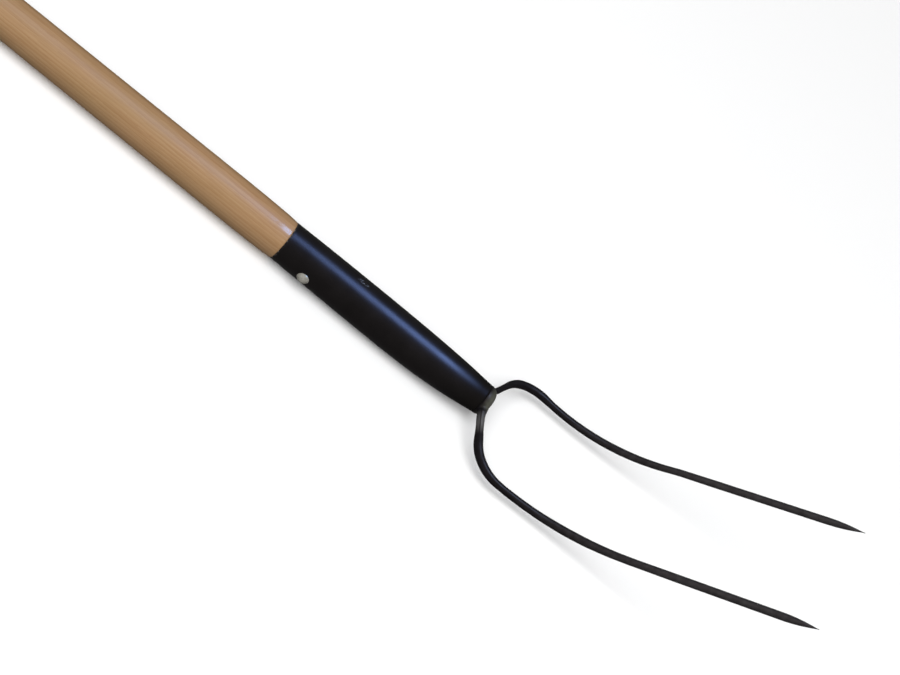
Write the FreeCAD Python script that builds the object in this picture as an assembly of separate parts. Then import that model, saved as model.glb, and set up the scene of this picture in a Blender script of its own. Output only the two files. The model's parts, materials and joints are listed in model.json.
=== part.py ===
import FreeCAD, Part
import math
import os

# Two-tine hay fork: a long ash handle driven into a painted steel socket, a forged crown
# that closes the socket's nose, two round tines that bow out of the crown, and one rivet.
#
# Frame: +X runs along the handle towards the points, +Y is the user's left, +Z is up, with
# the fork lying on its back and its points turned up. The origin is at the middle of the
# bounding box in X and Y, on the floor. All sizes are in millimetres.
#
# Inside this file every shape is first built about the handle's axis, with x = 0 at the
# root of the tines, and is moved into the frame above when it is written.

# ---- driving dimensions -------------------------------------------------------------

# handle
HANDLE_LENGTH = 1500.0          # whole stick, tenon included
TENON_LENGTH = 160.0            # the part inside the socket
GRIP_RADIUS = 18.0              # constant, from the taper to the butt
SWELL_RADIUS = 19.15            # thickest place, just behind the socket
SWELL_SETBACK = 57.0            # from the socket's mouth back to that place
TAPER_LENGTH = 500.0            # from the swell back to the grip
SHOULDER_LENGTH = 16.0          # the rounded step down to the socket's mouth
SHOULDER_RISE = 0.85            # how much of the step the rounding takes
BUTT_ROUNDING = 9.0             # the rounded edge of the far end

# socket
SOCKET_LENGTH = 207.0           # mouth to the arris where the crown takes over
MOUTH_RADIUS = 18.0
NOSE_RADIUS = 13.4
WALL = 2.0                      # at the mouth
NOSE_WALL = 3.0                 # the drawn-down end is thicker
# distance from the mouth, outside radius, lift of the centre above the handle's axis
SOCKET_STATIONS = (
    (0.0, MOUTH_RADIUS, 0.0),
    (34.0, 18.35, -0.1),
    (94.0, 18.6, -0.5),
    (130.0, 18.35, -0.65),
    (156.0, 17.6, -0.4),
    (182.0, 15.95, 0.4),
    (SOCKET_LENGTH, NOSE_RADIUS, 1.5),
)

# crown
PLUG_LENGTH = 32.0              # held inside the socket's nose
DOME_HEIGHT = 9.3               # the blunt end beyond the socket
DOME_FLAT_RADIUS = 27.0         # its nearly flat middle
DOME_EDGE = (8.0, 11.9)         # radii where the rounded edge starts and is half way
NECK_FOOT = -5.5                # where the middle lines of both necks meet, inside the crown

# tines: corner points shared by both (x, distance from the middle, z), bend radii, ends
TINE_POINTS = (
    (17.7, 61.7, -6.3),
    (104.0, 57.3, -11.6),
    (163.7, 62.1, 19.7),
    (307.4, 65.7, 91.4),
)
TINE_BENDS = (14.0, 35.0, 205.0, 200.0)
POINT_LENGTH = 33.0             # the tapered point
POINT_RADIUS = 0.35             # its blunted tip
FLATNESS = 0.97                 # thickness as a share of width
SECTION_SPACING = 9.0           # between the tine's sections
POINT_SECTIONS = 7
# Hand drawn, so the two differ a little: radius, first two corners, radius where the neck
# leaves the crown, and the swelling as (fraction of the shank, share of the radius).
LEFT_TINE = {
    "side": 1,
    "radius": 3.2,
    "root": ((-0.3, 16.4, 1.9), (1.1, 19.6, 0.9)),
    "neck_radius": 5.0,
    "swell": ((0.00, 0.86), (0.04, 0.81), (0.13, 1.16), (0.19, 1.16), (0.24, 0.99),
              (0.42, 1.04), (0.58, 0.94), (0.72, 1.00), (1.00, 1.00)),
}
RIGHT_TINE = {
    "side": -1,
    "radius": 3.53,
    "root": ((-1.5, 16.4, 2.3), (-0.4, 19.6, 1.4)),
    "neck_radius": 7.2,
    "swell": ((0.00, 1.04), (0.04, 0.98), (0.09, 1.18), (0.13, 1.14), (0.24, 0.95),
              (0.44, 1.05), (0.60, 0.96), (0.75, 1.00), (1.00, 1.00)),
}

# rivet
RIVET_SETBACK = 30.0            # from the socket's mouth
RIVET_RADIUS = 2.5
RIVET_SEAT = 18.3               # the socket's outside radius there
RIVET_TURN = 13.0               # degrees that its head lies below the tool's side
HEAD_RADIUS = 5.6
HEAD_HEIGHT = 3.2
TAIL_RADIUS = 4.8
TAIL_HEIGHT = 2.2

# ---- places that follow from them ---------------------------------------------------

NOSE_X = -7.0                                   # arris between the socket and the crown
MOUTH_X = NOSE_X - SOCKET_LENGTH
TENON_X = MOUTH_X + TENON_LENGTH                # the tenon's end, inside the socket
BUTT_X = TENON_X - HANDLE_LENGTH
SWELL_X = MOUTH_X - SWELL_SETBACK
GRIP_X = SWELL_X - TAPER_LENGTH
NOSE_LIFT = SOCKET_STATIONS[-1][2]
MIDDLE_X = (BUTT_X + TINE_POINTS[-1][0]) / 2
TO_FRAME = FreeCAD.Vector(-MIDDLE_X, 0, SWELL_RADIUS)

SIN_45 = math.sqrt(0.5)
X_AXIS = FreeCAD.Vector(1, 0, 0)
Z_AXIS = FreeCAD.Vector(0, 0, 1)


def point(x, y, z):
    return FreeCAD.Vector(x, y, z)


def write(node, shape):
    """Move a shape into the part's frame and write it as one STEP file."""
    placed = shape.copy()
    placed.translate(TO_FRAME)
    placed.exportStep(os.path.join("parts", node + ".step"))
    print("%-12s volume %9.1f mm3  valid %s" % (node, placed.Volume, placed.isValid()))


def turned(edges, lift=0.0):
    """Turn a profile, drawn from axis to axis in the XY plane, about the X axis."""
    face = Part.Face(Part.Wire(edges))
    solid = face.revolve(point(0, 0, 0), X_AXIS, 360)
    solid.translate(point(0, 0, lift))
    return Part.Solid(solid) if solid.ShapeType == "Shell" else solid


def line(a, b):
    return Part.LineSegment(point(a[0], a[1], 0), point(b[0], b[1], 0)).toShape()


def arc(a, b, c):
    return Part.Arc(point(a[0], a[1], 0), point(b[0], b[1], 0), point(c[0], c[1], 0)).toShape()


def slab(x_low, x_high):
    """A block that covers everything between two stations along the handle."""
    size = 120.0
    return Part.makeBox(x_high - x_low, size, size, point(x_low, -size / 2, -size / 2))


# ---- socket and what fills it -------------------------------------------------------

def socket_body(wall_at):
    """The socket's outer body, or the space inside it when wall_at gives a thickness."""
    rings = []
    for distance, radius, lift in SOCKET_STATIONS:
        centre = point(MOUTH_X + distance, 0, lift)
        circle = Part.Circle(centre, X_AXIS, radius - wall_at(distance))
        rings.append(Part.Wire(circle.toShape()))
    return Part.makeLoft(rings, True)


def no_wall(distance):
    return 0.0


def wall(distance):
    return WALL + (NOSE_WALL - WALL) * distance / SOCKET_LENGTH


def rivet_axis():
    """Centre of the rivet on the handle's axis, and the direction of its head."""
    turn = math.radians(RIVET_TURN)
    centre = point(MOUTH_X + RIVET_SETBACK, 0, 0)
    return centre, point(0, -math.cos(turn), -math.sin(turn))


def rivet_hole():
    centre, direction = rivet_axis()
    reach = 2 * MOUTH_RADIUS
    return Part.makeCylinder(RIVET_RADIUS, 2 * reach, centre - direction * reach, direction)


def make_socket(outside, inside):
    return outside.cut(inside).cut(rivet_hole())


def make_handle(inside):
    shoulder = (MOUTH_X, MOUTH_RADIUS - 0.1)
    shoulder_back = (MOUTH_X - SHOULDER_LENGTH, shoulder[1] + SHOULDER_RISE)
    shoulder_mid = (MOUTH_X - SHOULDER_LENGTH * 0.35, shoulder[1] + SHOULDER_RISE * 0.62)
    swell = (SWELL_X, SWELL_RADIUS)
    swell_mid = (MOUTH_X - SHOULDER_LENGTH * 2, SWELL_RADIUS - 0.12)
    grip = (GRIP_X, GRIP_RADIUS)
    butt_edge = (BUTT_X + BUTT_ROUNDING, GRIP_RADIUS)
    butt_mid = (BUTT_X + BUTT_ROUNDING * (1 - SIN_45), GRIP_RADIUS - BUTT_ROUNDING * (1 - SIN_45))
    butt_face = (BUTT_X, GRIP_RADIUS - BUTT_ROUNDING)
    butt = (BUTT_X, 0)
    stick = turned([
        arc(shoulder, shoulder_mid, shoulder_back),
        arc(shoulder_back, swell_mid, swell),
        line(swell, grip),
        line(grip, butt_edge),
        arc(butt_edge, butt_mid, butt_face),
        line(butt_face, butt),
        line(butt, (MOUTH_X, 0)),
        line((MOUTH_X, 0), shoulder),
    ])
    tenon = inside.common(slab(MOUTH_X, TENON_X))
    return stick.fuse(tenon).removeSplitter().cut(rivet_hole())


# ---- crown --------------------------------------------------------------------------

def make_crown(inside):
    apex = NOSE_X + DOME_HEIGHT
    flat_centre = apex - DOME_FLAT_RADIUS

    def flat_x(radius):
        return flat_centre + math.sqrt(DOME_FLAT_RADIUS ** 2 - radius ** 2)

    edge, half = DOME_EDGE
    rim = (NOSE_X, NOSE_RADIUS)
    edge_start = (flat_x(edge), edge)
    edge_half = ((flat_x(edge) + NOSE_X) / 2 + 1.4, half)
    dome = turned([
        arc(rim, edge_half, edge_start),
        arc(edge_start, (flat_x(edge / 2), edge / 2), (apex, 0)),
        line((apex, 0), (NOSE_X, 0)),
        line((NOSE_X, 0), rim),
    ], NOSE_LIFT)
    plug = inside.common(slab(NOSE_X - PLUG_LENGTH, NOSE_X))
    crown = dome.fuse(plug)
    for tine in (LEFT_TINE, RIGHT_TINE):
        root = tine_path(tine)[0][0]
        foot = point(NECK_FOOT, 0, NOSE_LIFT)
        end_radius = tine["radius"] * tine["swell"][0][1]
        reach = root - foot
        neck = Part.makeCone(tine["neck_radius"], end_radius, reach.Length, foot, reach)
        crown = crown.fuse(neck)
    return crown.removeSplitter()


# ---- tines --------------------------------------------------------------------------

def tine_path(tine):
    """Places along the centre line: point, direction, and distance as a share of the shank."""
    corners = [point(x, tine["side"] * y, z) for x, y, z in tine["root"] + TINE_POINTS]
    edges = []
    start = corners[0]
    for before, corner, after, bend in zip(corners, corners[1:], corners[2:], TINE_BENDS):
        back = (before - corner).normalize()
        ahead = (after - corner).normalize()
        half_turn = (math.pi - back.getAngle(ahead)) / 2
        cut = bend * math.tan(half_turn)
        first = corner + back * cut
        last = corner + ahead * cut
        inward = (back + ahead).normalize()
        middle = corner + inward * (bend / math.cos(half_turn) - bend)
        edges.append(Part.LineSegment(start, first).toShape())
        edges.append(Part.Arc(first, middle, last).toShape())
        start = last
    edges.append(Part.LineSegment(start, corners[-1]).toShape())
    shank = sum(edge.Length for edge in edges) - POINT_LENGTH
    count = round(shank / SECTION_SPACING)
    distances = [shank * i / count for i in range(count)]
    distances += [shank + POINT_LENGTH * i / POINT_SECTIONS for i in range(POINT_SECTIONS + 1)]
    return [place_on(edges, distance) + (distance / shank,) for distance in distances]


def place_on(edges, distance):
    """The point and direction at a distance along a chain of edges."""
    for edge in edges:
        if distance <= edge.Length or edge is edges[-1]:
            at = edge.getParameterByLength(min(distance, edge.Length))
            return edge.valueAt(at), edge.tangentAt(at)
        distance -= edge.Length


def swelling(table, at):
    """Share of the radius at a fraction of the shank, easing from row to row."""
    for (a, share_a), (b, share_b) in zip(table, table[1:]):
        if at <= b:
            t = (at - a) / (b - a)
            return share_a + (share_b - share_a) * t * t * (3 - 2 * t)
    return table[-1][1]


def section(centre, direction, half_width):
    """A slightly flattened ring across the tine, its width level with the ground."""
    level = Z_AXIS.cross(direction).normalize()
    upright = direction.cross(level)
    wide = centre + level * half_width
    thick = centre + upright * half_width * FLATNESS
    return Part.Wire(Part.Ellipse(wide, thick, centre).toShape())


def make_tine(tine):
    path = tine_path(tine)
    rings = []
    for centre, direction, at in path:
        radius = tine["radius"] * swelling(tine["swell"], at)
        if at > 1.0:
            gone = (at - 1.0) / (path[-1][2] - 1.0)
            radius = max(radius * (1.0 - gone ** 2), POINT_RADIUS)
        rings.append(section(centre, direction, radius))
    return Part.makeLoft(rings, True)


# ---- rivet --------------------------------------------------------------------------

def make_rivet(outside):
    centre, direction = rivet_axis()
    reach = RIVET_SEAT + 1.0
    rivet = Part.makeCylinder(RIVET_RADIUS, 2 * reach, centre - direction * reach, direction)
    for way, radius, height in ((1, HEAD_RADIUS, HEAD_HEIGHT), (-1, TAIL_RADIUS, TAIL_HEIGHT)):
        out = direction * way
        dome_radius = (radius ** 2 + height ** 2) / (2 * height)
        ball = Part.makeSphere(dome_radius, centre + out * (RIVET_SEAT + height - dome_radius))
        pillar = Part.makeCylinder(radius, 2 * height, centre + out * (RIVET_SEAT - 1.0), out)
        rivet = rivet.fuse(ball.common(pillar).cut(outside))
    return rivet.removeSplitter()


def main():
    os.makedirs("parts", exist_ok=True)
    outside = socket_body(no_wall)
    inside = socket_body(wall)
    write("handle", make_handle(inside))
    write("socket", make_socket(outside, inside))
    write("crown", make_crown(inside))
    write("left_tine", make_tine(LEFT_TINE))
    write("right_tine", make_tine(RIGHT_TINE))
    write("rivet", make_rivet(outside))


main()
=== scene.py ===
import json
import math

import bpy
from mathutils import Matrix, Vector, noise


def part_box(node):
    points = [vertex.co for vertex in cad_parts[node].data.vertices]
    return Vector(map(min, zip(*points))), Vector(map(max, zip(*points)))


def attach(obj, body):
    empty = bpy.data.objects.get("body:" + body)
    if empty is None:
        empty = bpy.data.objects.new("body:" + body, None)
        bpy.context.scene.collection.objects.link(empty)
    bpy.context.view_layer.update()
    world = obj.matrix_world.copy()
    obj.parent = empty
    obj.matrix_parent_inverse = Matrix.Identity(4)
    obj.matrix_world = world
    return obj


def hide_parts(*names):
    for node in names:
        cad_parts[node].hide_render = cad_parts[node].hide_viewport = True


# Looks of the two-tine hay fork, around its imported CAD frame.
#
# Shapes are written in millimetres about the handle's axis, with x = 0 at the roots of the
# tines, and to_frame() puts them into the part's own frame, in metres. The places that a shape
# hangs on, such as the socket's two ends, are read from the frame.

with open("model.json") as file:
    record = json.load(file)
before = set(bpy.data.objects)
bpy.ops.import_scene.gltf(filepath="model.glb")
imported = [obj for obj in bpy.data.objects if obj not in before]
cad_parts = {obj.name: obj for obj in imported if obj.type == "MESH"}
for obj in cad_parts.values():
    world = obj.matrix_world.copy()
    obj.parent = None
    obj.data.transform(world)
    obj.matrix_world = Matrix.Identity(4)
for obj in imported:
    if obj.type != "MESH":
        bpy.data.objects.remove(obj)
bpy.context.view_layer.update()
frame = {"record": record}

MM = 0.001
NOSE_X = -7.0                       # arris between the socket and the crown

socket_low, socket_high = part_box("socket")
handle_low, handle_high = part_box("handle")
grip = frame["record"]["mounts"][0]
AXIS_HEIGHT = grip["pos_m"][2]
GRIP_RADIUS = grip["dims"]["r_mm"]
ROOT_X = socket_high.x - NOSE_X * MM
MOUTH_X = (socket_low.x - ROOT_X) / MM
TENON_X = (handle_high.x - ROOT_X) / MM
BUTT_X = (handle_low.x - ROOT_X) / MM
X_AXIS = Vector((1, 0, 0))
Z_AXIS = Vector((0, 0, 1))

# ---- sizes, in millimetres ----------------------------------------------------------

# handle
SWELL_RADIUS = 19.15                # thickest place, just behind the socket
SWELL_SETBACK = 57.0                # from the socket's mouth back to that place
TAPER_LENGTH = 500.0                # from the swell back to the grip
SHOULDER_LENGTH = 16.0              # the rounded step down to the socket's mouth
SHOULDER_RADII = (17.9, 18.75)      # at the mouth, and where the step ends
SHOULDER_CURVE = 2.25               # powers: both curves rise steeply, then level off
SWELL_CURVE = 2.4
BUTT_ROUNDING = 9.0                 # the rounded edge of the far end
HANDLE_SIDES = 128

# socket: distance from the mouth, outside radius, lift of the centre
SOCKET_STATIONS = (
    (0.0, 18.0, 0.0),
    (34.0, 18.35, -0.1),
    (94.0, 18.6, -0.5),
    (130.0, 18.35, -0.65),
    (156.0, 17.6, -0.4),
    (182.0, 15.95, 0.4),
    (207.0, 13.4, 1.5),
)
SOCKET_LENGTH = SOCKET_STATIONS[-1][0]
NOSE_RADIUS, NOSE_LIFT = SOCKET_STATIONS[-1][1:]
WALL = 2.0                          # at the mouth
NOSE_WALL = 3.0                     # the drawn-down end is thicker
LIP_ROUNDING = 0.5
SOCKET_SIDES = 160
CLEARANCE = 0.1                     # between the socket and what fills it
NICK_SETBACK = 70.5                 # an old nick in the paint, on top, where bluish glints are painted in

# crown
PLUG_LENGTH = 32.0                  # held inside the socket's nose
DOME_HEIGHT = 9.3                   # the blunt end beyond the socket
DOME_FLAT_RADIUS = 27.0             # its nearly flat middle
DOME_EDGE = (8.0, 11.9)             # radii where its rounding ends, and halfway along it
DOME_BULGE = 1.4                    # how far forward of halfway it lies there
NECK_FOOT = -5.5                    # where the middle lines of both necks meet
CROWN_SIDES = 96
CROWN_VOXEL = 0.42                  # size of the grid that grows the pieces together
NECK_SLANT = 0.43                   # how far a tine first runs forward, to its run sideways
NECK_REACH = 5.0                    # how far the neck runs on inside the tine

# tines: the corners of the middle line, for the left one, and the radii that round them
TINE_POINTS = (
    (17.7, 61.7, -6.3),
    (104.0, 57.3, -11.6),
    (163.7, 62.1, 19.7),
    (307.4, 65.7, 91.4),
)
TINE_BENDS = (14.0, 35.0, 205.0, 200.0)
POINT_LENGTH = 33.0                 # the tapered point
POINT_RADIUS = 0.35                 # its blunted tip
FLATNESS = 0.97                     # thickness as a share of width
TINE_SIDES = 40
TINE_SPACING = 1.2                  # between the rings of points
TINE_OVERLAP = 2.5                  # how far the tine starts inside the crown's neck
# each tine: its side, its start and first corner, and how its radius swells along the shank
LEFT_TINE = {
    "side": 1,
    "radius": 3.2,
    "root": ((-0.3, 16.4, 1.9), (1.1, 19.6, 0.9)),
    "neck_radius": 5.0,
    "swell": ((0.00, 0.86), (0.04, 0.81), (0.13, 1.16), (0.19, 1.16), (0.24, 0.99),
              (0.42, 1.04), (0.58, 0.94), (0.72, 1.00), (1.00, 1.00)),
}
RIGHT_TINE = {
    "side": -1,
    "radius": 3.53,
    "root": ((-1.5, 16.4, 2.3), (-0.4, 19.6, 1.4)),
    "neck_radius": 7.2,
    "swell": ((0.00, 1.04), (0.04, 0.98), (0.09, 1.18), (0.13, 1.14), (0.24, 0.95),
              (0.44, 1.05), (0.60, 0.96), (0.75, 1.00), (1.00, 1.00)),
}

# rivet
RIVET_SETBACK = 30.0                # from the socket's mouth
RIVET_RADIUS = 2.5
RIVET_SEAT = 18.3                   # the socket's outside radius there
RIVET_TURN = 13.0                   # degrees that its head lies below the tool's side
HEAD_RADIUS = 5.6
HEAD_HEIGHT = 3.2
TAIL_RADIUS = 4.8
TAIL_HEIGHT = 2.2
RIVET_SIDES = 64


# ---- mesh tools ---------------------------------------------------------------------

def to_frame(point):
    """A point of the shapes, in the part's own frame."""
    return Vector((ROOT_X + point.x * MM, point.y * MM, AXIS_HEIGHT + point.z * MM))


def new_piece(name, points, faces):
    """A smooth mesh in the scene, from points given like the shapes in millimetres."""
    mesh = bpy.data.meshes.new(name)
    mesh.from_pydata([to_frame(p) for p in points], [], faces)
    mesh.validate()
    piece = bpy.data.objects.new(name, mesh)
    bpy.context.scene.collection.objects.link(piece)
    mesh.shade_smooth()
    return piece


def skin(name, rings, ends):
    """A closed surface over rings of points: its ends meet, or each is closed to a point."""
    sides = len(rings[0])
    points = [p for ring in rings for p in ring]
    faces = []
    pairs = list(range(len(rings) - 1))
    if ends == "meet":
        pairs.append(len(rings) - 1)
    for i in pairs:
        j = (i + 1) % len(rings)
        for k in range(sides):
            n = (k + 1) % sides
            faces.append((i * sides + k, i * sides + n, j * sides + n, j * sides + k))
    if ends == "closed":
        for first, ring, turn in ((0, rings[0], 1), ((len(rings) - 1) * sides, rings[-1], -1)):
            pole = len(points)
            points.append(sum(ring, Vector()) / sides)
            for k in range(sides):
                pair = (first + (k + 1) % sides, first + k)
                faces.append((pole,) + pair[::turn])
    return new_piece(name, points, faces)


def ring_about_x(x, radius, sides, lift=0.0):
    """A round ring about the handle's axis; radius may be a function of the angle."""
    points = []
    for k in range(sides):
        angle = math.tau * k / sides
        r = radius(angle) if callable(radius) else radius
        points.append(Vector((x, r * math.cos(angle), lift + r * math.sin(angle))))
    return points


def sharpen(piece, degrees):
    """Keep the edges crisp that turn by more than an angle."""
    piece.data.set_sharp_from_angle(angle=math.radians(degrees))


def steps(low, high, spacing):
    """Even places from low to high, both ends included."""
    count = max(1, round((high - low) / spacing))
    return [low + (high - low) * i / count for i in range(count + 1)]


def rounding(count):
    """Shares of a rounded edge's radius, along and across, from the end face to the side."""
    turns = [math.pi / 2 * i / count for i in range(count, -1, -1)]
    return [(1 - math.sin(turn), 1 - math.cos(turn)) for turn in turns]


def unit_noise(x, y, z):
    """Smooth noise from 0 to 1."""
    return 0.5 + 0.5 * max(-1.0, min(1.0, noise.noise(Vector((x, y, z)))))


def eased(table, at):
    """A value that eases from row to row of a table."""
    for (a, value_a), (b, value_b) in zip(table, table[1:]):
        if at <= b:
            t = (at - a) / (b - a)
            return value_a + (value_b - value_a) * t * t * (3 - 2 * t)
    return table[-1][1]


def through(table, column, at):
    """A smooth curve through one column of a table."""
    def slope(i):
        low, high = max(i - 1, 0), min(i + 1, len(table) - 1)
        return (table[high][column] - table[low][column]) / (table[high][0] - table[low][0])

    i = max(k for k in range(len(table) - 1) if table[k][0] <= at or k == 0)
    span = table[i + 1][0] - table[i][0]
    t = (at - table[i][0]) / span
    start, end = table[i][column], table[i + 1][column]
    return (start * (1 + 2 * t) * (1 - t) ** 2 + end * t * t * (3 - 2 * t)
            + span * (slope(i) * t * (1 - t) ** 2 - slope(i + 1) * t * t * (1 - t)))


def arc_through(a, b, c, count):
    """Points of the circular arc from a through b to c, in a plane, c left out."""
    ax, ay, bx, by, cx, cy = *a, *b, *c
    d = 2 * (ax * (by - cy) + bx * (cy - ay) + cx * (ay - by))
    ux = ((ax**2 + ay**2) * (by - cy) + (bx**2 + by**2) * (cy - ay) + (cx**2 + cy**2) * (ay - by)) / d
    uy = ((ax**2 + ay**2) * (cx - bx) + (bx**2 + by**2) * (ax - cx) + (cx**2 + cy**2) * (bx - ax)) / d
    radius = math.hypot(ax - ux, ay - uy)
    angles = [math.atan2(y - uy, x - ux) for x, y in (a, b, c)]
    first = angles[0]
    middle = (angles[1] - first + math.pi) % math.tau - math.pi
    turn = (angles[2] - first) % math.tau
    if middle < 0:
        turn -= math.tau
    turns = [first + turn * i / count for i in range(count)]
    return [(ux + radius * math.cos(t), uy + radius * math.sin(t)) for t in turns]


# ---- handle -------------------------------------------------------------------------

def stick_radius(behind):
    """The handle's radius at a distance behind the socket's mouth."""
    low, high = SHOULDER_RADII
    if behind <= SHOULDER_LENGTH:
        return low + (high - low) * (1 - (1 - behind / SHOULDER_LENGTH) ** SHOULDER_CURVE)
    if behind <= SWELL_SETBACK:
        t = (behind - SHOULDER_LENGTH) / (SWELL_SETBACK - SHOULDER_LENGTH)
        return high + (SWELL_RADIUS - high) * (1 - (1 - t) ** SWELL_CURVE)
    t = min(1.0, (behind - SWELL_SETBACK) / TAPER_LENGTH)
    return SWELL_RADIUS + (GRIP_RADIUS - SWELL_RADIUS) * t


def make_handle():
    """The stick with its rounded butt, and the tenon that it has inside the socket."""
    unevenness = 0.07               # depth of the shallow waves in the surface
    wave_length = 38.0
    end_break = 0.35                # the broken edge where the wood meets the socket
    close_up = MOUTH_X - 40         # from here on the rings stand closer together

    def ring(x, radius):
        def uneven(angle):
            y, z = math.cos(angle), math.sin(angle)
            return radius - unevenness * unit_noise(x / wave_length, y * 1.1, z * 1.1)
        return ring_about_x(x, uneven, HANDLE_SIDES)

    end_face = (3.0, 6.0)           # radii of the rings across the butt
    rings = [ring(BUTT_X, radius) for radius in end_face]
    for along, across in rounding(10):
        rings.append(ring(BUTT_X + BUTT_ROUNDING * along, GRIP_RADIUS - BUTT_ROUNDING * across))
    taper = MOUTH_X - SWELL_SETBACK - TAPER_LENGTH
    for low, high, spacing in ((BUTT_X + BUTT_ROUNDING, taper, 9.0), (taper, close_up, 5.0),
                               (close_up, MOUTH_X - end_break, 1.2)):
        rings += [ring(x, stick_radius(MOUTH_X - x)) for x in steps(low, high, spacing)[1:]]
    rings.append(ring(MOUTH_X, SHOULDER_RADII[0] - end_break))
    for x in steps(MOUTH_X + 0.05, TENON_X, 12.0):
        radius, lift = bore(x - MOUTH_X)
        rings.append(ring_about_x(x, radius, HANDLE_SIDES, lift))
    piece = skin("ash_handle", rings, "closed")
    sharpen(piece, 50)
    return piece


# ---- socket -------------------------------------------------------------------------

def wall(distance):
    """Thickness of the socket's wall at a distance from its mouth."""
    return WALL + (NOSE_WALL - WALL) * distance / SOCKET_LENGTH


def bore(distance):
    """Radius and lift of what fills the socket, just clear of its wall."""
    radius = through(SOCKET_STATIONS, 1, distance) - wall(distance) - CLEARANCE
    return radius, through(SOCKET_STATIONS, 2, distance)


def make_socket():
    """A tapered shell with a rounded lip and faintly planed sides."""
    planishing = 0.05               # depth of the smoothed hammer marks
    mark_length = 11.0
    nose_break = 0.15

    def ring(distance, drop, marks=0.0):
        lift = through(SOCKET_STATIONS, 2, distance)
        radius = through(SOCKET_STATIONS, 1, distance) - drop

        def uneven(angle):
            y, z = math.cos(angle), math.sin(angle)
            return radius - marks * unit_noise(distance / mark_length, y * 2.2, z * 2.2)
        return ring_about_x(MOUTH_X + distance, uneven, SOCKET_SIDES, lift)

    rings = [ring(LIP_ROUNDING * along, LIP_ROUNDING * across) for along, across in rounding(4)]
    outside = steps(LIP_ROUNDING, SOCKET_LENGTH - nose_break, 1.5)[1:]
    fade = ((0.0, 0.0), (4.0, 1.0), (SOCKET_LENGTH - 6, 1.0), (SOCKET_LENGTH, 0.0))
    rings += [ring(d, 0.0, planishing * eased(fade, d)) for d in outside]
    rings.append(ring(SOCKET_LENGTH, nose_break))
    rings += [ring(d, wall(d)) for d in reversed(steps(0.0, SOCKET_LENGTH, 6.0))]
    piece = skin("socket_shell", rings, "meet")
    sharpen(piece, 50)
    return piece


# ---- tines --------------------------------------------------------------------------

def straight_run(a, b):
    """Length of a straight run, and the point and direction at a distance along it."""
    direction = (b - a).normalized()
    return (b - a).length, lambda s: (a + direction * s, direction)


def round_bend(centre, first, heading, turn):
    """The same for a round bend that starts at a point with a heading."""
    spoke = first - centre
    radius = spoke.length
    out = spoke / radius

    def place(s):
        angle = s / radius
        point = centre + spoke * math.cos(angle) + heading * radius * math.sin(angle)
        return point, heading * math.cos(angle) - out * math.sin(angle)
    return turn * radius, place


def tine_runs(tine):
    """The tine's centre line, as straight runs joined by round bends."""
    corners = [Vector((x, tine["side"] * y, z)) for x, y, z in tine["root"] + TINE_POINTS]
    runs = []
    start = corners[0]
    for before, corner, after, bend in zip(corners, corners[1:], corners[2:], TINE_BENDS):
        back = (before - corner).normalized()
        ahead = (after - corner).normalized()
        half_turn = (math.pi - back.angle(ahead)) / 2
        cut = bend * math.tan(half_turn)
        centre = corner + (back + ahead).normalized() * bend / math.cos(half_turn)
        first = corner + back * cut
        runs.append(straight_run(start, first))
        runs.append(round_bend(centre, first, -back, 2 * half_turn))
        start = corner + ahead * cut
    runs.append(straight_run(start, corners[-1]))
    return runs


def place_on(runs, distance):
    """The point and direction at a distance along the runs."""
    for length, place in runs:
        if distance <= length or place is runs[-1][1]:
            return place(distance)
        distance -= length


def round_ring(centre, heading, radius, sides):
    """A round ring square to a heading."""
    level = Z_AXIS.cross(heading).normalized()
    upright = heading.cross(level)
    angles = [math.tau * k / sides for k in range(sides)]
    return [centre + (level * math.cos(a) + upright * math.sin(a)) * radius for a in angles]


def forged_ring(centre, direction, radius, distance, hammering, seed):
    """A ring across a tine, with the soft flats that the hammer leaves along the bows."""
    level = Z_AXIS.cross(direction).normalized()
    upright = direction.cross(level)
    twist_length, dent_length = 31.0, 7.0
    flat_count, flat_share = 6, 0.45
    points = []
    for k in range(TINE_SIDES):
        angle = math.tau * k / TINE_SIDES
        wander = 0.5 * noise.noise(Vector((distance / twist_length, seed, 0.0)))
        flats = 0.5 - 0.5 * math.cos(flat_count * (angle + wander))
        dents = unit_noise(distance / dent_length, seed + 1.3 * math.cos(angle), 1.3 * math.sin(angle))
        r = radius * (1 + hammering * (flat_share * (0.5 - flats) + 0.5 - dents))
        points.append(centre + level * (r * math.cos(angle)) + upright * (r * FLATNESS * math.sin(angle)))
    return points


def make_tine(name, tine, seed):
    """A round tine along its centre line, drawn out to a point."""
    runs = tine_runs(tine)
    shank = sum(length for length, place in runs) - POINT_LENGTH
    # place along the shank, and depth of the hammer's marks as a share of the radius
    hammering = ((0.0, 0.05), (0.3, 0.05), (0.5, 0.03), (1.0, 0.01), (1.2, 0.006))
    inset = 0.045                   # keeps the hammered skin inside the smooth one
    rings = []
    distances = steps(-TINE_OVERLAP, shank, TINE_SPACING)
    distances += steps(shank, shank + POINT_LENGTH, POINT_LENGTH / 26)[1:]
    for distance in distances:
        centre, direction = place_on(runs, distance)
        at = distance / shank
        radius = tine["radius"] * eased(tine["swell"], max(at, 0.0))
        if at > 1.0:
            gone = (distance - shank) / POINT_LENGTH
            radius = max(radius * (1 - gone ** 2), POINT_RADIUS)
        depth = eased(hammering, max(at, 0.0))
        rings.append(forged_ring(centre, direction, radius - inset, distance, depth, seed))
    return skin(name, rings, "closed")


# ---- crown --------------------------------------------------------------------------

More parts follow.
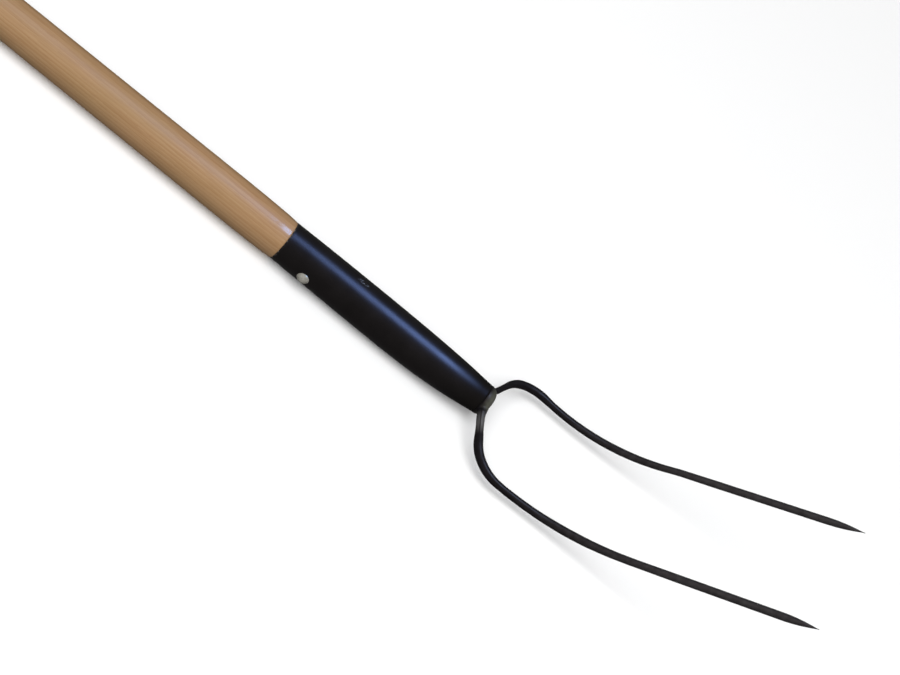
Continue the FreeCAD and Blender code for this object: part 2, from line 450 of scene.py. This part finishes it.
def dome_profile():
    """Places and radii of the crown's blunt end: a rounded edge, then a nearly flat middle."""
    apex = NOSE_X + DOME_HEIGHT
    flat_centre = apex - DOME_FLAT_RADIUS

    def flat_x(radius):
        return flat_centre + math.sqrt(DOME_FLAT_RADIUS ** 2 - radius ** 2)

    edge, half = DOME_EDGE
    rim = (NOSE_X, NOSE_RADIUS)
    middle = ((flat_x(edge) + NOSE_X) / 2 + DOME_BULGE, half)
    profile = arc_through(rim, middle, (flat_x(edge), edge), 20)
    profile += [(flat_x(edge * (1 - i / 8)), edge * (1 - i / 8)) for i in range(8)]
    return profile


def make_neck(tine):
    """A cone from the middle of the crown to a tine's root, that runs on inside the tine."""
    runs = tine_runs(tine)
    root, direction = place_on(runs, 0.0)
    foot = Vector((NECK_FOOT, 0, NOSE_LIFT))
    end_radius = tine["radius"] * tine["swell"][0][1]
    thinning = ((0.0, 0.98), (2.0, 0.9), (NECK_REACH, 0.75))
    rings = []
    for t in steps(0.0, 1.0, 0.1):
        radius = tine["neck_radius"] + (end_radius - tine["neck_radius"]) * t
        rings.append(round_ring(foot.lerp(root, t), (root - foot).normalized(), radius, CROWN_SIDES))
    for s in steps(0.5, NECK_REACH, 1.0):
        centre, heading = place_on(runs, s)
        rings.append(round_ring(centre, heading, end_radius * eased(thinning, s), CROWN_SIDES))
    return skin("crown_neck", rings, "closed")


def make_crown():
    """Dome, plug and two necks grown into one forging."""
    rings = []
    for depth in reversed(steps(0.0, PLUG_LENGTH, 4.0)):
        radius, lift = bore(SOCKET_LENGTH - depth)
        rings.append(ring_about_x(NOSE_X - depth, radius, CROWN_SIDES, lift))
    rings += [ring_about_x(x, radius, CROWN_SIDES, NOSE_LIFT) for x, radius in dome_profile()]
    parts = [skin("crown_core", rings, "closed"), make_neck(LEFT_TINE), make_neck(RIGHT_TINE)]
    return fused("forged_crown", parts, voxel=CROWN_VOXEL, smoothing=6)


def fused(name, parts, voxel, smoothing):
    """Several closed parts as one skin, with their corners worn soft."""
    points, faces = [], []
    for part in parts:
        start = len(points)
        points += [v.co.copy() for v in part.data.vertices]
        faces += [tuple(start + i for i in f.vertices) for f in part.data.polygons]
        bpy.data.objects.remove(part)
    mesh = bpy.data.meshes.new(name)
    mesh.from_pydata(points, [], faces)
    piece = bpy.data.objects.new(name, mesh)
    bpy.context.scene.collection.objects.link(piece)
    remesh = piece.modifiers.new("grow", "REMESH")
    remesh.mode = "VOXEL"
    remesh.voxel_size = voxel * MM
    smooth = piece.modifiers.new("soften", "SMOOTH")
    smooth.factor = 0.5
    smooth.iterations = smoothing
    view = bpy.context.evaluated_depsgraph_get()
    made = bpy.data.meshes.new_from_object(piece.evaluated_get(view))
    piece.modifiers.clear()
    piece.data = made
    made.shade_smooth()
    return piece


# ---- rivet --------------------------------------------------------------------------

def make_rivet():
    """Domed head, shank and closed tail, turned about the rivet's own axis."""
    turn = math.radians(RIVET_TURN)
    centre = Vector((MOUTH_X + RIVET_SETBACK, 0, 0))
    out = Vector((0, -math.cos(turn), -math.sin(turn)))
    across = X_AXIS.cross(out)
    seated = 1.1                    # how far the rims reach down onto the round socket
    rim_break = 0.1
    dent_depth = 0.16

    def cap(way, radius, height):
        curve = (radius ** 2 + height ** 2) / (2 * height)
        middle = RIVET_SEAT + height - curve
        widest = math.asin(radius / curve)
        turns = steps(0.0, widest, widest / 16)[1:]
        rows = [(way * (middle + curve * math.cos(a)), curve * math.sin(a)) for a in turns]
        rows.append((way * (RIVET_SEAT - seated), radius - rim_break))
        rows.append((way * (RIVET_SEAT - seated), RIVET_RADIUS))
        return rows

    profile = cap(1, HEAD_RADIUS, HEAD_HEIGHT) + cap(-1, TAIL_RADIUS, TAIL_HEIGHT)[::-1]
    rings = []
    for along, radius in profile:
        ring = []
        for k in range(RIVET_SIDES):
            angle = math.tau * k / RIVET_SIDES
            y, z = radius * math.cos(angle), radius * math.sin(angle)
            dent = dent_depth * unit_noise(y / 2.1, z / 2.1, along / 9) * min(1.0, radius / 2)
            reach = along - math.copysign(dent, along)
            ring.append(centre + out * reach + X_AXIS * y + across * z)
        rings.append(ring)
    piece = skin("socket_rivet", rings, "closed")
    sharpen(piece, 60)
    return piece


# ---- material tools -----------------------------------------------------------------

def new_material(name):
    """A material with its node tree and its surface shader."""
    material = bpy.data.materials.new(name)
    material.use_nodes = True
    tree = material.node_tree
    return material, tree, tree.nodes["Principled BSDF"]


def add(tree, kind, values=None, **settings):
    """A node. Each value is a number, a vector, or another node's output to link."""
    node = tree.nodes.new(kind)
    for name, value in settings.items():
        setattr(node, name, value)
    for name, value in (values or {}).items():
        if isinstance(value, bpy.types.NodeSocket):
            tree.links.new(value, node.inputs[name])
        else:
            node.inputs[name].default_value = value
    return node


def places(tree, stretch=(1, 1, 1), shift=(0, 0, 0)):
    """The part's own coordinates, in metres, scaled and then shifted."""
    where = add(tree, "ShaderNodeTexCoord").outputs["Object"]
    mapped = add(tree, "ShaderNodeMapping", {"Vector": where, "Location": shift, "Scale": stretch})
    return mapped.outputs["Vector"]


def side_of(tree, where, axis):
    """One coordinate of a place."""
    return add(tree, "ShaderNodeSeparateXYZ", {"Vector": where}).outputs[axis]


def noise_of(tree, where, size_mm, detail=3.0, roughness=0.5):
    """Noise whose features are about that many millimetres across."""
    values = {"Vector": where, "Scale": 1 / (size_mm * MM), "Detail": detail, "Roughness": roughness}
    return add(tree, "ShaderNodeTexNoise", values).outputs["Fac"]


def fitted(tree, value, low, high, to_low=0.0, to_high=1.0):
    """A value carried from one range to another, and kept inside it."""
    values = {"Value": value, "From Min": low, "From Max": high, "To Min": to_low, "To Max": to_high}
    return add(tree, "ShaderNodeMapRange", values).outputs["Result"]


def combined(tree, operation, a, b):
    """The result of an operation on two values. Some operations use only the first."""
    node = add(tree, "ShaderNodeMath", operation=operation)
    for socket, value in zip(node.inputs, (a, b)):
        if isinstance(value, bpy.types.NodeSocket):
            tree.links.new(value, socket)
        else:
            socket.default_value = value
    return node.outputs[0]


def around(tree, centre, reach):
    """Distance from a place, given like the shapes in millimetres, as a share of a reach."""
    squeeze = Vector(1 / (r * MM) for r in reach)
    shift = [-a * b for a, b in zip(to_frame(centre), squeeze)]
    centred = places(tree, squeeze, shift)
    return add(tree, "ShaderNodeVectorMath", {0: centred}, operation="LENGTH").outputs["Value"]


def ramp(tree, factor, stops):
    """A colour that runs between stops, given as (position, colour)."""
    node = add(tree, "ShaderNodeValToRGB", {"Fac": factor})
    row = node.color_ramp.elements
    while len(row) < len(stops):
        row.new(0.5)
    for element, (position, color) in zip(row, stops):
        element.position = position
        element.color = (*color, 1)
    return node.outputs["Color"]


def mixed(tree, factor, a, b):
    """One colour laid over another."""
    node = add(tree, "ShaderNodeMix", data_type="RGBA")
    for socket, value in ((node.inputs[0], factor), (node.inputs[6], a), (node.inputs[7], b)):
        if isinstance(value, bpy.types.NodeSocket):
            tree.links.new(value, socket)
        elif isinstance(value, tuple):
            socket.default_value = (*value, 1)
        else:
            socket.default_value = value
    return node.outputs[2]


def relief(tree, layers):
    """Bump from several heights, given as (height, depth in mm)."""
    normal = None
    for height, depth in layers:
        values = {"Height": height, "Distance": depth * MM}
        if normal is not None:
            values["Normal"] = normal
        normal = add(tree, "ShaderNodeBump", values).outputs["Normal"]
    return normal


# ---- materials ----------------------------------------------------------------------

def ash_wood():
    """Straight-grained ash under satin lacquer, which has pooled on the shoulder."""
    material, tree, shader = new_material("ash_wood")
    off_heart = (0, 47 * MM, 36 * MM)       # puts the tree's heart outside the stick
    rings_at = places(tree, (0.04, 1, 1), off_heart)
    rings = add(tree, "ShaderNodeTexWave",
                {"Vector": rings_at, "Scale": 105.0, "Distortion": 2.6, "Detail": 2.0,
                 "Detail Scale": 9.0, "Detail Roughness": 0.55},
                wave_type="RINGS", rings_direction="X", wave_profile="SAW").outputs["Fac"]
    fibres = noise_of(tree, places(tree, (0.025, 1, 1)), 1.1, 4.0, 0.6)
    streaks = noise_of(tree, places(tree, (0.05, 1, 1), (0.3, 0, 0)), 4.5, 3.0)
    patches = noise_of(tree, places(tree, (0.25, 1, 1), (0.7, 0, 0)), 26.0, 2.0)
    pores = noise_of(tree, places(tree, (0.03, 1, 1), (0.1, 0, 0)), 0.42, 2.0)
    pore_marks = fitted(tree, pores, 0.62, 0.72)
    grain = combined(tree, "ADD", combined(tree, "MULTIPLY", rings, 0.34),
                     combined(tree, "MULTIPLY", fibres, 0.66))
    figure = ramp(tree, grain, ((0.25, (0.272, 0.15, 0.067)), (0.5, (0.307, 0.18, 0.086)),
                                (0.75, (0.338, 0.207, 0.105))))
    streaked = mixed(tree, fitted(tree, streaks, 0.52, 0.75, 0.0, 0.4), figure, (0.235, 0.125, 0.052))
    toned = mixed(tree, fitted(tree, patches, 0.45, 0.7, 0.0, 0.3), streaked, (0.26, 0.172, 0.075))
    porous = mixed(tree, combined(tree, "MULTIPLY", pore_marks, 0.3), toned, (0.17, 0.095, 0.045))
    tree.links.new(porous, shader.inputs["Base Color"])
    tree.links.new(fitted(tree, fibres, 0.3, 0.7, 0.38, 0.5), shader.inputs["Roughness"])
    shader.inputs["Specular IOR Level"].default_value = 0.3
    x_of = side_of(tree, places(tree), "X")
    pooled = fitted(tree, x_of, socket_low.x - 24 * MM, socket_low.x - 8 * MM, 0.08, 0.42)
    tree.links.new(pooled, shader.inputs["Coat Weight"])
    shader.inputs["Coat Roughness"].default_value = 0.16
    normal = relief(tree, ((fibres, 0.025), (pore_marks, -0.02), (streaks, 0.05)))
    tree.links.new(normal, shader.inputs["Normal"])
    return material


def black_paint():
    """Black paint, duller towards the nose, worn at the mouth's rim, and nicked once on top, where bluish
    glints are painted in.
    """
    material, tree, shader = new_material("black_paint")
    here = places(tree)
    orange_peel = noise_of(tree, here, 1.5, 2.0)
    dust = noise_of(tree, here, 0.35, 3.0, 0.7)
    cloud = noise_of(tree, here, 19.0, 3.0)
    coat = ramp(tree, cloud, ((0.3, (0.0052, 0.0046, 0.004)), (0.7, (0.0074, 0.0065, 0.0058))))
    x_of = side_of(tree, here, "X")
    scratched = noise_of(tree, places(tree, (1, 0.4, 0.4)), 0.9, 4.0, 0.7)
    rim = fitted(tree, x_of, socket_low.x + 0.2 * MM, socket_low.x + 1.2 * MM, 1.0, 0.0)
    rim_wear = combined(tree, "MULTIPLY", rim, fitted(tree, scratched, 0.5, 0.6))
    nick_at = Vector((MOUTH_X + NICK_SETBACK, 0, SOCKET_STATIONS[0][1]))
    reach = around(tree, nick_at, (6.0, 2.2, 6.0))
    # the nick's pale bluish flecks are painted glints; its dent is a real bump
    glint_flecks = noise_of(tree, places(tree, (0.8, 1, 1)), 1.3, 4.0, 0.75)
    nick_and_glint = combined(tree, "MULTIPLY", fitted(tree, reach, 0.75, 1.0, 1.0, 0.0),
                    fitted(tree, glint_flecks, 0.53, 0.58))
    worn = mixed(tree, rim_wear, coat, (0.16, 0.15, 0.14))
    with_painted_glint = mixed(tree, nick_and_glint, worn, (0.13, 0.155, 0.21))
    tree.links.new(with_painted_glint, shader.inputs["Base Color"])
    dulled = fitted(tree, x_of, socket_high.x - 45 * MM, socket_high.x - 6 * MM, 0.0, 0.14)
    matt = combined(tree, "ADD", fitted(tree, cloud, 0.3, 0.7, 0.3, 0.35), dulled)
    tree.links.new(matt, shader.inputs["Roughness"])
    shader.inputs["Specular Tint"].default_value = (1.0, 0.84, 1.0, 1)
    gloss = fitted(tree, x_of, socket_high.x - 40 * MM, socket_high.x - 7 * MM, 0.32, 0.05)
    tree.links.new(gloss, shader.inputs["Specular IOR Level"])
    normal = relief(tree, ((orange_peel, 0.02), (dust, 0.008), (nick_and_glint, -0.08)))
    tree.links.new(normal, shader.inputs["Normal"])
    return material


def forged_steel():
    """Black scale, rubbed grey towards the points, with a painted reflection on the crown's end and
    painted highlight streaks at a root.
    """
    material, tree, shader = new_material("dark_forged_steel")
    here = places(tree)
    x_of = side_of(tree, here, "X")
    y_of = side_of(tree, here, "Y")
    scale_marks = noise_of(tree, here, 5.0, 4.0, 0.6)
    pits = noise_of(tree, here, 0.8, 3.0, 0.65)
    drift = combined(tree, "ADD", x_of, combined(tree, "MULTIPLY", scale_marks, 30 * MM))
    rubbed = fitted(tree, drift, ROOT_X + 70 * MM, ROOT_X + 200 * MM)
    black = ramp(tree, scale_marks, ((0.3, (0.0045, 0.0044, 0.0052)), (0.7, (0.0075, 0.0073, 0.009))))
    grey = ramp(tree, scale_marks, ((0.3, (0.015, 0.0145, 0.016)), (0.7, (0.028, 0.0275, 0.029))))
    # the olive grey on the crown's end is a painted reflection of the bright surroundings, not bare steel
    painted_end_reflection = ramp(tree, scale_marks, ((0.3, (0.062, 0.064, 0.052)), (0.7, (0.088, 0.09, 0.074))))
    color = mixed(tree, rubbed, black, grey)
    # where the painted reflection lies: ahead of the socket's nose, between the necks
    ahead = fitted(tree, x_of, ROOT_X - 6.5 * MM, ROOT_X - 1.0 * MM)
    off_middle = combined(tree, "ABSOLUTE", y_of, 0.0)
    between = fitted(tree, off_middle, 10.5 * MM, 14.5 * MM, 1.0, 0.0)
    color = mixed(tree, combined(tree, "MULTIPLY", ahead, between), color, painted_end_reflection)
    # by the right tine's root, painted highlight streaks run along the neck
    at_root = around(tree, Vector((2.0, -23.0, 2.0)), (9.0, 14.0, 7.0))
    across = combined(tree, "ADD", x_of, combined(tree, "MULTIPLY", y_of, NECK_SLANT))
    streak_bands = add(tree, "ShaderNodeTexNoise", {"W": across, "Scale": 0.6 / MM, "Detail": 2.0},
                noise_dimensions="1D").outputs["Fac"]
    painted_highlight_streak = combined(tree, "MULTIPLY", fitted(tree, at_root, 0.3, 1.0, 1.0, 0.0),
                      fitted(tree, streak_bands, 0.4, 0.62, 0.15, 1.0))
    # the pale grey laid on here is painted highlight, not a mark on the steel
    color = mixed(tree, painted_highlight_streak, color, (0.13, 0.13, 0.13))
    bare = fitted(tree, pits, 0.66, 0.72, 0.0, 0.35)
    color = mixed(tree, combined(tree, "MULTIPLY", bare, rubbed), color, (0.08, 0.077, 0.073))
    tree.links.new(color, shader.inputs["Base Color"])
    tree.links.new(fitted(tree, scale_marks, 0.3, 0.7, 0.34, 0.5), shader.inputs["Roughness"])
    shader.inputs["Specular IOR Level"].default_value = 0.3
    shader.inputs["Specular Tint"].default_value = (0.9, 0.55, 0.4, 1)
    normal = relief(tree, ((scale_marks, 0.12), (pits, 0.035)))
    tree.links.new(normal, shader.inputs["Normal"])
    return material


def rivet_steel():
    """Bare steel, beaten and slightly tarnished."""
    material, tree, shader = new_material("rivet_steel")
    here = places(tree)
    tarnish = noise_of(tree, here, 2.2, 4.0, 0.6)
    grain = noise_of(tree, here, 0.3, 3.0, 0.7)
    color = ramp(tree, tarnish, ((0.3, (0.24, 0.23, 0.195)), (0.7, (0.42, 0.405, 0.36))))
    tree.links.new(color, shader.inputs["Base Color"])
    tree.links.new(fitted(tree, tarnish, 0.3, 0.7, 0.5, 0.32), shader.inputs["Roughness"])
    shader.inputs["Metallic"].default_value = 0.3
    normal = relief(tree, ((tarnish, 0.06), (grain, 0.015)))
    tree.links.new(normal, shader.inputs["Normal"])
    return material


def pale_floor():
    """Plain matt white."""
    material, tree, shader = new_material("pale_floor")
    shader.inputs["Base Color"].default_value = (0.9, 0.9, 0.9, 1)
    shader.inputs["Roughness"].default_value = 0.8
    shader.inputs["Specular IOR Level"].default_value = 0.2
    return material


# ---- studio -------------------------------------------------------------------------

def make_floor():
    """A wide plain floor, kept out of bounced and mirrored light so that dark parts stay dark."""
    half = 6.0
    mesh = bpy.data.meshes.new("floor")
    mesh.from_pydata([(-half, -half, 0), (half, -half, 0), (half, half, 0), (-half, half, 0)],
                     [], [(0, 1, 2, 3)])
    floor = bpy.data.objects.new("floor", mesh)
    bpy.context.scene.collection.objects.link(floor)
    mesh.materials.append(pale_floor())
    floor.visible_glossy = False
    floor.visible_diffuse = False


def panel(name, aim, direction, distance, size, power, color):
    """A soft flat light that faces the aim from a direction, sized in metres and watts."""
    light = bpy.data.lights.new(name, "AREA")
    light.shape = "RECTANGLE"
    light.size, light.size_y = size
    light.energy = power
    light.color = color
    lamp = bpy.data.objects.new(name, light)
    back = Vector(direction).normalized()
    lamp.location = aim + back * distance
    lamp.rotation_euler = back.to_track_quat("Z", "Y").to_euler()
    bpy.context.scene.collection.objects.link(lamp)
    return lamp


def make_lights(aim):
    """One bluish panel that only makes highlights, and one white panel that makes none."""
    sheen = panel("overhead", aim, direction=(0.30, 0.02, 0.95), distance=2.2, size=(0.95, 0.9),
                  power=60.0, color=(0.28, 0.52, 1.0))
    sheen.visible_diffuse = False
    fill = panel("fill", aim, direction=(-0.1, -0.55, 0.83), distance=3.5, size=(4.6, 4.6),
                 power=188.0, color=(1.0, 1.0, 1.0))
    fill.visible_glossy = False


def make_world():
    """White behind the object, a dimmer even light on it, and little of it in reflections."""
    world = bpy.data.worlds.new("studio")
    world.use_nodes = True
    tree = world.node_tree
    background = tree.nodes["Background"]
    background.inputs["Color"].default_value = (1, 1, 1, 1)
    rays = add(tree, "ShaderNodeLightPath").outputs
    even, mirrored, behind = 0.42, 0.08, 0.98
    on_it = fitted(tree, rays["Is Glossy Ray"], 0.0, 1.0, even, mirrored)
    behind_it = fitted(tree, rays["Is Camera Ray"], 0.0, 1.0, 0.0, behind)
    strength = combined(tree, "MAXIMUM", on_it, behind_it)
    tree.links.new(strength, background.inputs["Strength"])
    bpy.context.scene.world = world


def make_camera(aim):
    """A long lens, above and to the right of the handle, rolled so that the fork lies aslant."""
    azimuth, elevation, roll = map(math.radians, (-11.29, 39.61, 46.25))
    distance = 7.312
    back = Vector((math.cos(elevation) * math.sin(azimuth),
                   -math.cos(elevation) * math.cos(azimuth), math.sin(elevation)))
    level = Z_AXIS.cross(back).normalized()
    upright = back.cross(level)
    right = level * math.cos(roll) + upright * math.sin(roll)
    up = upright * math.cos(roll) - level * math.sin(roll)
    camera = bpy.data.cameras.new("camera")
    camera.lens = 360.0
    camera.sensor_width = 36.0
    camera.clip_end = 60.0
    holder = bpy.data.objects.new("camera", camera)
    turn = Matrix((right, up, back)).transposed().to_4x4()
    holder.matrix_world = Matrix.Translation(aim + back * distance) @ turn
    bpy.context.scene.collection.objects.link(holder)
    bpy.context.scene.camera = holder


# ---- assembly -----------------------------------------------------------------------

def finish_piece(piece, node, material):
    """Give a piece its material, hang it on the root body, and hide the CAD part that it stands for."""
    piece.data.materials.clear()
    piece.data.materials.append(material)
    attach(piece, "root")
    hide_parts(node)


steel = forged_steel()
finish_piece(make_handle(), "handle", ash_wood())
finish_piece(make_socket(), "socket", black_paint())
finish_piece(make_crown(), "crown", steel)
finish_piece(make_tine("forged_tine_left", LEFT_TINE, 3.7), "left_tine", steel)
finish_piece(make_tine("forged_tine_right", RIGHT_TINE, 8.1), "right_tine", steel)
finish_piece(make_rivet(), "rivet", rivet_steel())

make_floor()
make_world()
view_aim = Vector((socket_high.x - 47.5 * MM, 36 * MM, AXIS_HEIGHT))
make_lights(view_aim)
make_camera(view_aim)
bpy.context.scene.view_settings.view_transform = "Standard"
